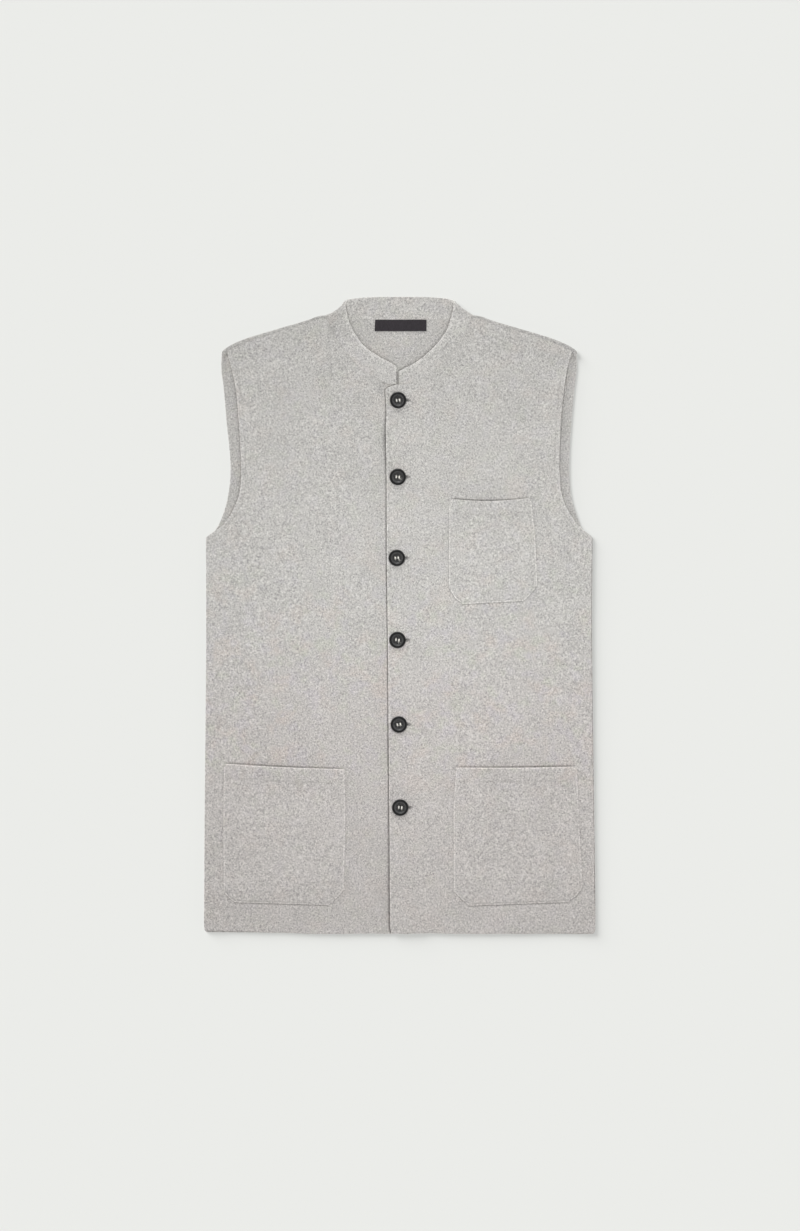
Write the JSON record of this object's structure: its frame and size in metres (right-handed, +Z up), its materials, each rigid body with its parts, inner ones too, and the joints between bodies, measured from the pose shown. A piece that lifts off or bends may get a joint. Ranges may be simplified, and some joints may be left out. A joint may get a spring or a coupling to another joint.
{
  "type": "nehru waistcoat",
  "caption": "Sleeveless buttoned waistcoat laid flat: overlapping fronts, standing band collar, chest and hip patch pockets, back panel showing at the neck and armholes.",
  "frame": {"origin": "middle of the bounding box at the surface the back panel lies on", "axes": "laid flat and face up: +Z up from the surface, +Y from the hem to the collar, +X towards the wearer's left (the viewer's right in the picture)"},
  "size_m": [0.4982, 0.811, 0.0105],
  "materials": {
    "cloth": "light warm grey felted wool melange, matt with a short nap",
    "button": "dark charcoal, horn-like, softly polished",
    "label": "dark woven ribbon, bare"
  },
  "bodies": {
    "root": {"back_panel": "cloth", "front_right": "cloth", "front_left": "cloth", "collar": "cloth", "pocket_chest": "cloth", "pocket_hip_right": "cloth", "pocket_hip_left": "cloth", "neck_label": "label", "button_1": "button", "button_2": "button", "button_3": "button", "button_4": "button", "button_5": "button", "button_6": "button"}
  },
  "joints": []
}
